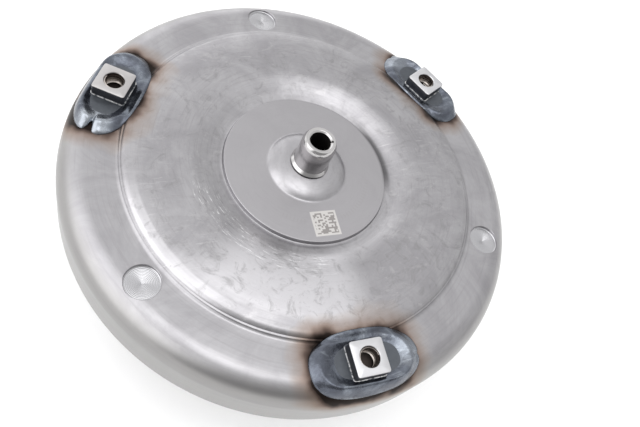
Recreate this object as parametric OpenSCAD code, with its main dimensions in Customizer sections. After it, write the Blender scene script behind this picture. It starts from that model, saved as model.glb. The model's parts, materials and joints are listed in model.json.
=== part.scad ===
// Torque converter with lock-up clutch, three welded drive lugs and a crankshaft pilot.
// Millimetres. +Z is the rotation axis and points to the engine; z = 0 is the end of the pump-drive neck.

/* [Front cover] */
// Outside diameter of the cover skirt
cover_d = 250.2; // [220:0.2:290]
// Sheet thickness of the cover
cover_t = 4.5; // [3.5:0.1:5]
// Outside radius of the cover shoulder
shoulder_r = 13.1; // [10:0.1:16]
// Height of the flat cover ring above the end of the neck
ring_z = 112; // [110:0.5:120]
// Depth of the skirt below the flat ring
skirt_depth = 31.5; // [31.5:0.1:34]
// Diameter of the step where the raised centre begins
step_d = 194.6; // [188:0.2:198]
// Height of the crest of the raised centre over the flat ring
crest_h = 4.7; // [3.5:0.1:6]
// Diameter of the flat centre plateau
plateau_d = 90.4; // [80:0.2:96]
// Height of the plateau over the flat ring
plateau_h = 1.2; // [0.8:0.1:2]
// Foot diameter of the flared cone round the pilot
cone_d = 44.4; // [36:0.2:46]
// Height of the top of the cone over the flat ring
cone_h = 5.6; // [5:0.1:8]

/* [Pilot] */
// Diameter of the crankshaft pilot
pilot_d = 18.6; // [18:0.1:24]
// Height of the pilot end over the flat ring
pilot_h = 25.8; // [20:0.1:30]
// Diameter of the blind bore in the pilot
pilot_bore_d = 11; // [8:0.1:14]
// Depth of the blind bore
pilot_bore_depth = 17; // [8:0.5:18]

/* [Drive lugs] */
// Diameter of the circle the three lug holes sit on
lug_circle_d = 215.2; // [210:0.1:220]
// Side of the square boss
lug_boss = 17; // [16:0.1:18]
// Height of the boss face over the flat ring
lug_h = 7.9; // [6:0.1:12]
// Length of the lug base plate
lug_plate_l = 46; // [40:0.5:50]
// Width of the lug base plate
lug_plate_w = 20; // [18:0.5:22]
// Height of the base plate over the flat ring
lug_plate_h = 1.8; // [1.5:0.1:3]
// Tapping-drill diameter of the lug thread
lug_hole_d = 8.5; // [6.8:0.1:10.2]
// Section radius of the weld bead round a lug
weld_r = 4.3; // [3.5:0.1:4.6]

/* [Spot faces] */
// Circle diameter of the three shallow spot faces
spot_circle_d = 216; // [212:0.2:220]
// Diameter of a spot face
spot_d = 17; // [12:0.2:18]
// Depth of a spot face
spot_depth = 1.8; // [1:0.1:2.2]

/* [Impeller] */
// Number of impeller blades
impeller_blade_n = 31; // [23:1:33]
// Sheet thickness of the impeller shell
impeller_t = 3.5; // [3:0.1:4]
// Depth of the lowest point of the impeller shell below the flat ring
impeller_depth = 67; // [65:0.5:70]
// Outside diameter of the pump-drive neck
hub_d = 45; // [44:0.1:50]
// Bore of the pump-drive neck
hub_bore_d = 37; // [36:0.1:39]
// Width of the two pump-drive slots
slot_w = 9; // [6:0.5:12]
// Depth of the two pump-drive slots
slot_depth = 11; // [8:0.5:14]

/* [Turbine] */
// Number of turbine blades
turbine_blade_n = 29; // [23:1:33]
// Sheet thickness of blades
blade_t = 1.2; // [0.8:0.1:1.6]
// Number of turbine hub spline teeth
hub_teeth = 22; // [18:1:28]

/* [Stator] */
// Number of stator blades
stator_blade_n = 15; // [11:1:17]
// Number of clutch rollers
roller_n = 10; // [8:1:10]
// Number of teeth in the inner race
race_teeth = 26; // [20:1:32]

/* [Lock-up clutch] */
// Thickness of the friction lining
lining_t = 1.2; // [0.8:0.1:1.3]
// Free play between lining and cover
lockup_gap = 1.2; // [0.8:0.1:1.2]
// Number of damper springs
spring_n = 6; // [4:1:6]
// Outside diameter of a damper spring
spring_d = 10; // [9:0.1:10]

/* [Thrust bearings] */
// Needles in each thrust bearing
needle_n = 20; // [16:1:24]
// Diameter of a needle
needle_d = 1.98; // [1.9:0.01:1.98]

/* [Hidden] */
$fn = 96;
zr = ring_z;
R = cover_d / 2;
Ri = R - cover_t;
rs = R - shoulder_r;
step_r = step_d / 2;
pr = plateau_d / 2;
lug_r = lug_circle_d / 2;
lug_a = [30, 150, 270];
spot_a = [90, 210, 330];
tc = 84;              // radius of the centre of the flow ring
split = -43;          // plane between turbine and impeller
ib = -impeller_depth; // lowest outside point of the impeller shell
needle_l = 7;

function ell(cx, cz, a, b, t0, t1, n) =
  [for (i = [0:n]) let (t = t0 + (t1 - t0) * i / n) [cx + a * cos(t), cz + b * sin(t)]];
function shift(p, dz) = [for (q = p) [q[0], q[1] + dz]];
function turned(p) = [for (i = [len(p) - 1:-1:0]) p[i]];

module up() { translate([0, 0, zr]) children(); }
module spin(p) { rotate_extrude() polygon(p); }
module ring(r0, r1, z0, z1) { spin([[r0, z0], [r1, z0], [r1, z1], [r0, z1]]); }

// ---- profiles, heights from the flat ring plane ----
face = concat(
  [[8, cone_h], [11, cone_h]],
  [for (q = [[0.27, 0.15], [0.53, 0.34], [0.71, 0.53], [0.84, 0.72], [0.94, 0.92], [1, 1]])
    [11 + (cone_d / 2 - 11) * q[0], cone_h - (cone_h - plateau_h) * q[1]]],
  [[pr - 0.3, plateau_h], [pr, plateau_h - 0.3], [pr + 0.8, -0.95], [pr + 1.8, -0.9], [48.6, -0.45],
   [51, 0.3], [54, 1.65], [57, 2.85], [59, 3.5], [61, 4.05], [63, crest_h - 0.3], [66, crest_h - 0.05], [70, crest_h],
   [75, crest_h - 0.1], [80, crest_h - 0.25], [85, crest_h - 0.5], [88.5, crest_h - 0.8], [step_r - 5.6, crest_h - 1.25]],
  ell(step_r - 4.6, -0.3, 4.6, crest_h - 1.1, 75, 5, 6),
  [[step_r, 0], [rs, 0]],
  ell(rs, -shoulder_r, shoulder_r, shoulder_r, 84, 0, 14));
back = concat(
  [[Ri, -skirt_depth]],
  ell(rs, -shoulder_r, shoulder_r - cover_t, shoulder_r - cover_t, 0, 90, 10),
  [[95.2, -cover_t], [93.2, -2.9], [91, crest_h - cover_t - 1.4], [87, crest_h - cover_t - 0.7], [80, crest_h - cover_t - 0.3],
   [70, crest_h - cover_t], [63, crest_h - cover_t - 0.4], [59, -1.1], [55, -2.7], [51, -4.4], [49, -5.2], [46, -5.6],
   [42.5, -3.3], [20, -3.3], [16.5, -1.5], [13.5, 1.8], [8, 2.2]]);
cover_profile = concat(face, [[R, -skirt_depth]], back);
cap_profile = concat([[0, -20]], [[0, cone_h]], face, [[R, -20]]);

shell_out = concat([[38, -61.5], [49, -61.5], [56, -62.6], [64, -64.6], [73, -66.3]],
  ell(tc, -36, 36.6, -(ib + 36), -90, 0, 16), [[Ri, -22]]);
shell_in = concat([[38, -58], [50, -58], [56, -58.9], [64, -61.0], [73, -62.8]],
  ell(tc, -36, 36.6 - impeller_t, -(ib + 36) - impeller_t, -90, 0, 16), [[Ri - impeller_t, -22]]);
turb_out = concat([[36.2, -24], [49, -24], [53, -24.9], [57, -26.2], [60, -26.9]], ell(tc, split, 31, 21, 128.7, 0, 16));
turb_in = concat([[36.2, -26], [48.4, -26], [52.4, -26.85], [56.4, -28.1], [60.2, -28.9]], ell(tc, split, 29, 19, 128.7, 0, 16));

module cover_body() { up() spin(cap_profile); }

// ---- housing ----
module front_cover() {
  color([0.69, 0.68, 0.69]) difference() {
    up() spin(cover_profile);
    for (a = spot_a) rotate(a) translate([spot_circle_d / 2, 0, zr - spot_depth]) {
      cylinder(d = spot_d, h = 6);
      translate([0, 0, -0.5]) cylinder(d1 = 0.4, d2 = 1.6, h = 0.6, $fn = 24);
    }
  }
}

module crank_pilot() {
  rt = pilot_d / 2;
  color([0.75, 0.75, 0.76]) up() difference() {
    spin([[0, 1.6], [7.2, 1.6], [8, 2.4], [8, cone_h], [rt + 1.1, cone_h + 0.1], [rt + 1.2, cone_h + 1], [rt, cone_h + 2.6],
      [rt, pilot_h - 2.6], [rt - 1.3, pilot_h], [0, pilot_h]]);
    spin([[0, pilot_h - pilot_bore_depth - 2], [pilot_bore_d / 2, pilot_h - pilot_bore_depth],
      [pilot_bore_d / 2, pilot_h - 0.8], [pilot_bore_d / 2 + 0.8, pilot_h], [pilot_bore_d / 2 + 0.8, pilot_h + 1], [0, pilot_h + 1]]);
  }
}

module racetrack(l, w) {
  square([l - w, w], center = true);
  for (s = [-1, 1]) translate([s * (l - w) / 2, 0]) circle(d = w);
}

module lug_block() {
  linear_extrude(lug_plate_h + 4) racetrack(lug_plate_l, lug_plate_w);
  translate([-lug_boss / 2, -lug_boss / 2, 0]) cube([lug_boss, lug_boss, lug_h + 4]);
}

module at_lug(i) { rotate(lug_a[i] - 90) translate([0, lug_r, 0]) children(); }

module drive_lug(i) {
  color([0.44, 0.45, 0.48]) difference() {
    at_lug(i) translate([0, 0, zr - 4]) lug_block();
    cover_body();
    at_lug(i) {
      translate([0, 0, zr - 1]) cylinder(d = lug_hole_d, h = lug_h + 2, $fn = 48);
      translate([0, 0, zr + lug_h - 1]) cylinder(d1 = lug_hole_d, d2 = lug_hole_d + 4, h = 2, $fn = 48);
    }
  }
}
module drive_lug_1() { drive_lug(0); }
module drive_lug_2() { drive_lug(1); }
module drive_lug_3() { drive_lug(2); }

// bead that runs round the base plate and leans with the shoulder of the cover
module bead_loop() {
  rw = lug_plate_w / 2 + 0.9;
  hl = (lug_plate_l - lug_plate_w) / 2;
  rotate([-6, 0, 0]) {
    for (s = [-1, 1]) translate([-hl, s * rw, 0]) rotate([0, 90, 0]) cylinder(r = weld_r, h = 2 * hl, $fn = 48);
    for (s = [0, 1]) rotate(s * 180) translate([hl, 0, 0]) rotate(-90)
      rotate_extrude(angle = 180) translate([rw, 0]) circle(r = weld_r, $fn = 48);
  }
}
module lug_weld(i) {
  color([0.36, 0.39, 0.44]) difference() {
    at_lug(i) translate([0, 0, zr]) bead_loop();
    cover_body();
    at_lug(i) translate([0, 0, zr - 4]) lug_block();
  }
}
module lug_weld_1() { lug_weld(0); }
module lug_weld_2() { lug_weld(1); }
module lug_weld_3() { lug_weld(2); }

module seam_weld() {
  s = -skirt_depth;
  color([0.42, 0.43, 0.46]) up()
    spin([[Ri, s], [R - 0.5, s], [R - 0.7, s - 1.4], [R - 1.8, s - 2.9], [R - 3.2, s - 3.9], [Ri, s - 4.4]]);
}

module impeller_shell() {
  color([0.62, 0.62, 0.64]) up() spin(concat(shell_out, turned(shell_in)));
}

// thin curved sheet in plan: list of [radius, angle]
module sheet(path, h, z0) {
  n = len(path);
  translate([0, 0, z0]) linear_extrude(h) polygon(concat(
    [for (p = path) let (d = asin(blade_t / 2 / p[0])) [p[0] * cos(p[1] + d), p[0] * sin(p[1] + d)]],
    [for (i = [n - 1:-1:0]) let (p = path[i], d = asin(blade_t / 2 / p[0])) [p[0] * cos(p[1] - d), p[0] * sin(p[1] - d)]]));
}

module impeller_blades() {
  path = [[50, 0], [60, -4], [74, -7], [90, -8], [106, -6.5], [120, -4]];
  region = concat([[53, split - 10], [53, -58.3], [56, -58.8], [64, -60.8], [73, -62.6]],
    ell(tc, -36, 36.6 - impeller_t - 0.1, -(ib + 36) - impeller_t - 0.1, -88, -18, 8),
    [[tc + 32.2, split - 0.5]],
    ell(88.6, split - 0.5, 19.3, 9.3, -2, -150, 8),
    [[70.2, split - 7], [70.2, split - 10]]);
  color([0.70, 0.70, 0.72]) up() intersection() {
    for (i = [0:impeller_blade_n - 1]) rotate(i * 360 / impeller_blade_n) sheet(path, 24, -66);
    spin(region);
  }
}

module core_ring(s) {
  c = split + s * 0.5;
  spin(concat(ell(88.6, c, 19, s * 9, 0, 180, 16), turned(ell(88.6, c, 17.8, s * 7.8, 0, 180, 16))));
}
module impeller_core_ring() { color([0.74, 0.74, 0.76]) up() core_ring(-1); }

module impeller_hub() {
  rh = hub_d / 2;
  rb = hub_bore_d / 2;
  color([0.66, 0.66, 0.68]) difference() {
    up() spin([[rb, -zr + 0.8], [rb + 0.8, -zr], [rh - 1, -zr], [rh, -zr + 1], [rh, -68], [rh + 2, -65.5], [38, -64],
      [38, -58], [rb, -58]]);
    for (s = [0, 180]) rotate(s) translate([rb - 3, -slot_w / 2, -1]) cube([8, slot_w, slot_depth + 1]);
  }
}
module hub_weld() {
  color([0.42, 0.43, 0.46]) up() spin([[38, -61.5], [42, -61.5], [41, -63], [39.6, -63.9], [38, -64]]);
}

module balance_weight() {
  t0 = -52; t1 = -38;
  color([0.55, 0.55, 0.57]) up() rotate(64) rotate_extrude(angle = 14)
    polygon(concat(ell(tc, -36, 36.6, -(ib + 36), t0, t1, 4), ell(tc, -36, 39.1, -(ib + 36) + 2.5, t1, t0, 4)));
}

// ---- thrust bearings ----
module needles(r0, zc) {
  for (i = [0:needle_n - 1]) rotate(i * 360 / needle_n) translate([r0, 0, zc]) rotate([0, 90, 0])
    cylinder(d = needle_d, h = needle_l, $fn = 24);
}
module cage(r0, r1, zc) {
  difference() {
    ring(r0, r1, zc - 0.7, zc + 0.7);
    for (i = [0:needle_n - 1]) rotate(i * 360 / needle_n) translate([(r0 + r1) / 2 - needle_l / 2 - 0.05, -needle_d / 2 - 0.03, zc - 2])
      cube([needle_l + 0.1, needle_d + 0.06, 4]);
  }
}
module front_bearing_race_cover() { color([0.6, 0.6, 0.62]) up() ring(22, 34, -4.3, -3.3); }
module front_bearing_race_hub() { color([0.6, 0.6, 0.62]) up() ring(22, 34, -7.3, -6.3); }
module front_bearing_cage() { color([0.5, 0.45, 0.35]) up() cage(22.5, 33.5, -5.3); }
module front_bearing_needles() { color([0.8, 0.8, 0.82]) up() needles(24.5, -5.3); }
module middle_bearing_race_hub() { color([0.6, 0.6, 0.62]) up() ring(22, 34, -27, -26); }
module middle_bearing_race_stator() { color([0.6, 0.6, 0.62]) up() ring(22, 34, -30, -29); }
module middle_bearing_cage() { color([0.5, 0.45, 0.35]) up() cage(22.5, 33.5, -28); }
module middle_bearing_needles() { color([0.8, 0.8, 0.82]) up() needles(24.5, -28); }
module rear_bearing_race_stator() { color([0.6, 0.6, 0.62]) up() ring(24, 37, -55, -54); }
module rear_bearing_race_hub() { color([0.6, 0.6, 0.62]) up() ring(24, 37, -58, -57); }
module rear_bearing_cage() { color([0.5, 0.45, 0.35]) up() cage(24.5, 36.5, -56); }
module rear_bearing_needles() { color([0.8, 0.8, 0.82]) up() needles(27, -56); }

// ---- turbine ----
module turbine_shell() {
  color([0.66, 0.66, 0.69]) up() difference() {
    spin(concat(turb_out, turned(turb_in)));
    rivet_holes(42, 12, 0, 5, -27, 4);
  }
}
module turbine_blades() {
  path = [[50, 8], [60, 1], [74, -4], [90, -4], [106, 3], [118, 12]];
  region = concat([[54, -31], [54, -27.6], [56.4, -28.3], [60.2, -29.1]], ell(tc, split, 28.9, 18.9, 128, 4, 9),
    [[tc + 28.8, split + 0.5]],
    ell(88.6, split + 0.5, 19.3, 9.3, 0, 150, 8),
    [[70.2, -35], [70.2, -31]]);
  color([0.72, 0.72, 0.74]) up() intersection() {
    for (i = [0:turbine_blade_n - 1]) rotate(i * 360 / turbine_blade_n) sheet(path, 22, -44);
    spin(region);
  }
}
module turbine_core_ring() { color([0.74, 0.74, 0.76]) up() core_ring(1); }

// round bore with n slots cut outwards from it
module spline_hole(n, r0, r1) {
  circle(r = r0);
  for (i = [0:n - 1]) rotate(i * 360 / n) polygon([[r0 - 0.6, -r0 * 70 / n / 57.3], [r1, -r1 * 45 / n / 57.3],
    [r1, r1 * 45 / n / 57.3], [r0 - 0.6, r0 * 70 / n / 57.3]]);
}
module turbine_hub() {
  color([0.6, 0.6, 0.63]) up() difference() {
    spin([[5, -7.3], [37.4, -7.3], [38, -7.9], [38, -11], [35.9, -11], [35.9, -13.5], [38, -13.5], [38, -20], [47, -20],
      [47, -24], [36, -24], [36, -26], [5, -26]]);
    translate([0, 0, -30]) linear_extrude(26) spline_hole(hub_teeth, 10.6, 12.2);
    for (i = [0:11]) rotate(i * 30) translate([42, 0, -25]) cylinder(d = 5, h = 6, $fn = 24);
  }
}
module turbine_rivets() {
  color([0.5, 0.5, 0.53]) up() for (i = [0:11]) rotate(i * 30) translate([42, 0, 0])
    spin_rivet(2.5, 3.2, -26, -17.5, 1.3);
}
module spin_rivet(rb, rh, z0, z1, hh) {
  rotate_extrude($fn = 24) polygon([[0, z0 - hh], [rh - 0.8, z0 - hh], [rh, z0 - hh / 2], [rh, z0], [rb, z0],
    [rb, z1], [rh, z1], [rh, z1 + hh / 2], [rh - 0.8, z1 + hh], [0, z1 + hh]]);
}
module rivet_holes(r, n, a0, d, z0, h) {
  for (i = [0:n - 1]) rotate(a0 + i * 360 / n) translate([r, 0, z0]) cylinder(d = d, h = h, $fn = 24);
}

// ---- lock-up clutch and damper ----
module piston_seal_ring() { color([0.2, 0.2, 0.2]) up() ring(36, 38.03, -13.4, -11.1); }

module windows(len, wid, z0, h) {
  for (i = [0:spring_n - 1]) rotate(i * 360 / spring_n) translate([57 - wid / 2, -len / 2, z0]) cube([wid, len, h]);
}
module damper_driven_plate() {
  color([0.55, 0.55, 0.58]) up() difference() {
    ring(38.2, 62, -20, -17.5);
    windows(26, 14, -21, 5);
    rivet_holes(42, 12, 0, 5, -21, 5);
  }
}
module damper_front_plate() {
  color([0.58, 0.58, 0.6]) up() difference() {
    ring(46.5, 73.5, -16.5, -15);
    windows(26, 10.4, -17, 3);
    rivet_holes(66, 6, 30, 4, -17, 3);
    for (i = [0:5]) rotate(i * 60) translate([69.2, -6.1, -17]) cube([10, 12.2, 3]);
  }
}
module damper_rear_plate() {
  color([0.58, 0.58, 0.6]) up() difference() {
    ring(48, 69.4, -22.5, -21);
    windows(26, 10.4, -23, 3);
    rivet_holes(66, 6, 30, 4, -23, 3);
  }
}
module damper_rivets() {
  color([0.5, 0.5, 0.53]) up() for (i = [0:5]) rotate(30 + i * 60) translate([66, 0, 0])
    rotate_extrude($fn = 24) polygon([[0, -23.3], [2.4, -23.3], [3, -22.9], [3, -22.5], [2, -22.5], [2, -21], [3.4, -21],
      [3.4, -16.5], [2, -16.5], [2, -15], [3, -15], [3, -14.4], [2.4, -13.8], [0, -13.8]]);
}
// coil along +Y, closed tube mesh
module coil(r, w, len, turns) {
  seg = 12; sec = 6; n = seg * turns;
  pts = [for (i = [0:n], k = [0:sec - 1]) let (a = i * 360 / seg, b = k * 360 / sec, y = -len / 2 + w + (len - 2 * w) * i / n,
    q = r - w + w * cos(b)) [q * cos(a), y + w * sin(b), q * sin(a)]];
  faces = concat(
    [[for (k = [0:sec - 1]) k]],
    [for (i = [0:n - 1], k = [0:sec - 1]) let (a = i * sec + k, b = i * sec + (k + 1) % sec) [a, a + sec, b]],
    [for (i = [0:n - 1], k = [0:sec - 1]) let (a = i * sec + k, b = i * sec + (k + 1) % sec) [b, a + sec, b + sec]],
    [[for (k = [sec - 1:-1:0]) n * sec + k]]);
  polyhedron(pts, faces, convexity = 10);
}
module damper_springs() {
  color([0.35, 0.37, 0.42]) up() for (i = [0:spring_n - 1]) rotate(i * 360 / spring_n) translate([57, 0, -18.75])
    coil(spring_d / 2, 1, 25.6, 7);
}
module lockup_piston() {
  f = -cover_t - lockup_gap - lining_t;
  color([0.63, 0.63, 0.66]) up() union() {
    spin([[38.08, -15.2], [41, -15.2], [41, -12], [88, -12], [92, -9.9], [115.5, -9.9], [115.5, f], [91, f],
      [87, -9], [38.08, -9]]);
    intersection() {
      ring(69.5, 72, -18, -11.5);
      for (i = [0:2]) rotate(i * 60) translate([-80, -6, -19]) cube([160, 12, 9]);
    }
  }
}
module friction_lining() {
  f = -cover_t - lockup_gap - lining_t;
  color([0.42, 0.33, 0.22]) up() ring(96, 111.5, f, f + lining_t);
}

// ---- stator and one-way clutch ----
module stator_blade() {
  foil = [[-3.6, -8.7], [-1.4, -8], [1.4, -3], [2.3, 2], [1.8, 6.3], [0, 8.6], [-1.9, 8.8], [-2.7, 7.2], [-1.8, 2], [-2.2, -4]];
  rotate([90, 0, 90]) linear_extrude(16.9) polygon(foil);
}
module stator_wheel() {
  color([0.78, 0.77, 0.74]) up() union() {
    spin([[38, -52], [50.6, -52], [51, -51.6], [51, -32.4], [50.6, -32], [38, -32]]);
    spin([[66, -51.6], [66.4, -52], [68.6, -52], [69, -51.6], [69, -32.4], [68.6, -32], [66.4, -32], [66, -32.4]]);
    for (i = [0:stator_blade_n - 1]) rotate(i * 360 / stator_blade_n) translate([49.9, 0, -42]) stator_blade();
  }
}
module stator_front_plate() { color([0.5, 0.5, 0.52]) up() ring(19.5, 41, -32, -30); }
module stator_rear_plate() { color([0.5, 0.5, 0.52]) up() ring(19.5, 41, -54, -52); }
module overrun_outer_race() {
  color([0.6, 0.6, 0.62]) up() translate([0, 0, -51.9]) linear_extrude(19.8) difference() {
    circle(r = 38);
    circle(r = 25.6);
    for (i = [0:roller_n - 1]) rotate(i * 360 / roller_n)
      polygon([[24, -3.4], [30.66, -3.4], [31.89, 8.5], [24, 8.5]]);
  }
}
module overrun_rollers() {
  color([0.8, 0.8, 0.82]) up() for (i = [0:roller_n - 1]) rotate(i * 360 / roller_n) translate([28, 0, -50])
    cylinder(r = 2.96, h = 16, $fn = 32);
}
module overrun_springs() {
  color([0.45, 0.47, 0.52]) up() for (i = [0:roller_n - 1]) rotate(i * 360 / roller_n) translate([26.8, 3.4, -47])
    linear_extrude(10) difference() {
      square([3.2, 4.7]);
      for (k = [0:3]) translate([k % 2 == 0 ? -0.3 : 0.4, 0.35 + k * 1.1]) square([3.1, 0.7]);
    }
}
module overrun_inner_race() {
  color([0.62, 0.62, 0.65]) up() translate([0, 0, -51.9]) linear_extrude(19.8) difference() {
    circle(r = 25);
    spline_hole(race_teeth, 15.5, 17);
  }
}

front_cover();
crank_pilot();
drive_lug_1();
drive_lug_2();
drive_lug_3();
lug_weld_1();
lug_weld_2();
lug_weld_3();
seam_weld();
impeller_shell();
impeller_blades();
impeller_core_ring();
impeller_hub();
hub_weld();
balance_weight();
front_bearing_race_cover();
front_bearing_race_hub();
front_bearing_cage();
front_bearing_needles();
turbine_shell();
turbine_blades();
turbine_core_ring();
turbine_hub();
turbine_rivets();
piston_seal_ring();
damper_driven_plate();
damper_front_plate();
damper_rear_plate();
damper_rivets();
damper_springs();
lockup_piston();
friction_lining();
stator_wheel();
stator_front_plate();
stator_rear_plate();
overrun_outer_race();
overrun_rollers();
overrun_springs();
overrun_inner_race();
middle_bearing_race_hub();
middle_bearing_race_stator();
middle_bearing_cage();
middle_bearing_needles();
rear_bearing_race_stator();
rear_bearing_race_hub();
rear_bearing_cage();
rear_bearing_needles();
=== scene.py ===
"""Looks of the torque converter. Sizes below are in millimetres and become metres when a mesh is made."""
import json
import math

import bpy
import bmesh
import numpy as np
from mathutils import Matrix, Vector


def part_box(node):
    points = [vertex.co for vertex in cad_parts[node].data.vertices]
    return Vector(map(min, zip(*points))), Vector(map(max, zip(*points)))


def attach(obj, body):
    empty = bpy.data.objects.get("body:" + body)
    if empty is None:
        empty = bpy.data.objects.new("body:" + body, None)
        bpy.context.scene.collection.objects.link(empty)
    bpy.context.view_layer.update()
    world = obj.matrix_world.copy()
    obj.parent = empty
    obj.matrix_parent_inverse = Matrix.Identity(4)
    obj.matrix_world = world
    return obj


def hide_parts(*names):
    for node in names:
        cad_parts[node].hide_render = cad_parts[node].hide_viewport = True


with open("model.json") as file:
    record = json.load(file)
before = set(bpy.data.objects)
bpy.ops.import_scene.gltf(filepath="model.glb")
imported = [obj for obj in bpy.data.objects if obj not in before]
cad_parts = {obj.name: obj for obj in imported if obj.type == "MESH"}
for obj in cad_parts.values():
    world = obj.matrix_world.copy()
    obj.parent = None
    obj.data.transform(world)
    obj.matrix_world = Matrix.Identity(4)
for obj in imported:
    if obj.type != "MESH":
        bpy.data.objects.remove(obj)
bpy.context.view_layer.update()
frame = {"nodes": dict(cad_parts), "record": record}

MM = 0.001
LUG_H, PLATE_H = 7.9, 1.8                       # boss face and base plate over the flat cover ring
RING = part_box("drive_lug_1")[1].z / MM - LUG_H   # height of the flat cover ring
COVER_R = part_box("front_cover")[1].x / MM
SHEET, SHOULDER, SKIRT = 4.5, 13.1, 31.5
STEP_R, CREST_H = 97.3, 4.7
PLATEAU_R, PLATEAU_H = 45.2, 1.2
CONE_R, CONE_H = 22.2, 5.6
PILOT_R, PILOT_H, PILOT_BORE, BORE_DEPTH = 9.3, 25.8, 5.5, 17.0
LUG_R, LUG_ANGLES = 107.6, (30, 150, 270)
SPOT_R, SPOT_ANGLES, SPOT_SIZE, SPOT_DEPTH = 108.0, (90, 210, 330), 8.5, 1.8
PLATE_L, PLATE_W, BOSS = 46.0, 20.0, 17.0
NECK_R, NECK_BORE, SLOT_W, SLOT_DEPTH = 22.5, 18.5, 9.0, 11.0
SHELL_DEPTH, SHELL_T, FLOW_R = 67.0, 3.5, 84.0
BOWL_Z, BOWL_R = -36, 36.6                      # height of the middle and half width of the shell's round
BOWL_DEPTH = SHELL_DEPTH + BOWL_Z
FLANGE_R, FLANGE_Z = 38, -61.5                  # where the neck's flange meets the shell
PANEL_X, PANEL_Y, PANEL_HALF = 1.0, -34.6, 7.0  # plain etched square on the plateau
TICK_IN, TICK_OUT = 33.0, 35.2                  # radii of the etched arcs of ticks
THREAD_R, THREAD_L, THREAD_TURNS, THREAD_RIDGE = 4.8, 6.6, 4.4, 0.5
BLADES, TAB_W, TAB_RISE = 31, 1.5, 0.6
WELD_GAP = 2e-6                                 # points nearer than this, in metres, are one point


# ---------- finishes ----------
class Finish:
    """A procedural surface. Its patterns read Object coordinates, turned to millimetres."""

    def __init__(self, name, colour, metal=1.0, rough=0.4):
        self.mat = bpy.data.materials.new(name)
        self.mat.use_nodes = True
        self.tree = self.mat.node_tree
        self.tree.nodes.clear()
        out = self.tree.nodes.new("ShaderNodeOutputMaterial")
        self.skin = self.tree.nodes.new("ShaderNodeBsdfPrincipled")
        self.tree.links.new(self.skin.outputs[0], out.inputs[0])
        self.skin.inputs["Metallic"].default_value = metal
        self.skin.inputs["Base Color"].default_value = (*colour, 1)
        self.skin.inputs["Roughness"].default_value = rough
        self.height = None
        place = self.node("ShaderNodeTexCoord").outputs["Object"]
        self.at = self.node("ShaderNodeVectorMath", place, operation="SCALE", Scale=1000.0).outputs[0]
        parts = self.node("ShaderNodeSeparateXYZ", self.at)
        self.x, self.y, self.z = parts.outputs
        self.r = self.calc("SQRT", self.plus(self.times(self.x, self.x), self.times(self.y, self.y)))

    def node(self, kind, *values, **named):
        made = self.tree.nodes.new(kind)
        for key, value in named.items():
            if key in made.inputs:
                self.feed(made.inputs[key], value)
            else:
                setattr(made, key, value)
        for socket, value in zip(made.inputs, values):
            self.feed(socket, value)
        return made

    def feed(self, socket, value):
        if isinstance(value, bpy.types.NodeSocket):
            self.tree.links.new(value, socket)
        elif value is not None:
            socket.default_value = value

    def calc(self, operation, a, b=None):
        return self.node("ShaderNodeMath", a, b, operation=operation).outputs[0]

    def plus(self, a, b):
        return self.calc("ADD", a, b)

    def minus(self, a, b):
        return self.calc("SUBTRACT", a, b)

    def times(self, a, b):
        return self.calc("MULTIPLY", a, b)

    def over(self, a, b):
        return self.calc("DIVIDE", a, b)

    def vector(self, x, y, z):
        return self.node("ShaderNodeCombineXYZ", x, y, z).outputs[0]

    def noise(self, where, scale, detail=3.0, rough=0.5, warp=0.0):
        return self.node("ShaderNodeTexNoise", Vector=where, Scale=scale, Detail=detail, Roughness=rough,
                         Distortion=warp).outputs[0]

    def band(self, value, low, high):
        """0 below low, 1 above high, smooth between."""
        made = self.node("ShaderNodeMapRange", Value=value, interpolation_type="SMOOTHSTEP")
        made.inputs["From Min"].default_value = low
        made.inputs["From Max"].default_value = high
        return made.outputs[0]

    def below(self, value, low, high):
        """1 below low, 0 above high, smooth between."""
        return self.minus(1.0, self.band(value, low, high))

    def between(self, value, low, high, soft):
        """1 from low to high, fading out over a soft margin on both sides."""
        return self.times(self.band(value, low - soft, low), self.below(value, high, high + soft))

    def blend(self, share, a, b):
        made = self.node("ShaderNodeMix", data_type="RGBA")
        self.feed(made.inputs[0], share)
        for socket, value in ((made.inputs[6], a), (made.inputs[7], b)):
            self.feed(socket, (*value, 1) if isinstance(value, tuple) else value)
        return made.outputs[2]

    def ramp(self, value, *stops):
        made = self.node("ShaderNodeValToRGB", value)
        edge = made.color_ramp.elements
        while len(edge) < len(stops):
            edge.new(0.5)
        for item, (place, shade) in zip(edge, stops):
            item.position = place
            item.color = (*shade, 1) if isinstance(shade, tuple) else (shade, shade, shade, 1)
        return made.outputs[0]

    def around(self, turn, spread):
        """A place that changes slowly round the axis and fast across it."""
        return self.vector(self.times(self.over(self.x, self.r), turn),
                           self.times(self.over(self.y, self.r), turn),
                           self.times(self.plus(self.r, self.z), spread))

    def stretched(self, angle, along, across):
        """A place for strokes that run at an angle in plan."""
        return self.node("ShaderNodeMapping", Vector=self.at, Rotation=(0, 0, math.radians(angle)),
                         Scale=(along, across, along)).outputs[0]

    def raise_by(self, height, depth):
        made = self.node("ShaderNodeBump", Strength=1.0, Distance=depth * MM, Height=height)
        if self.height is not None:
            self.feed(made.inputs["Normal"], self.height)
        self.height = made.outputs[0]

    def done(self, colour=None, rough=None):
        if colour is not None:
            self.feed(self.skin.inputs["Base Color"], colour)
        if rough is not None:
            self.feed(self.skin.inputs["Roughness"], rough)
        if self.height is not None:
            self.feed(self.skin.inputs["Normal"], self.height)
        return self.mat


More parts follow.
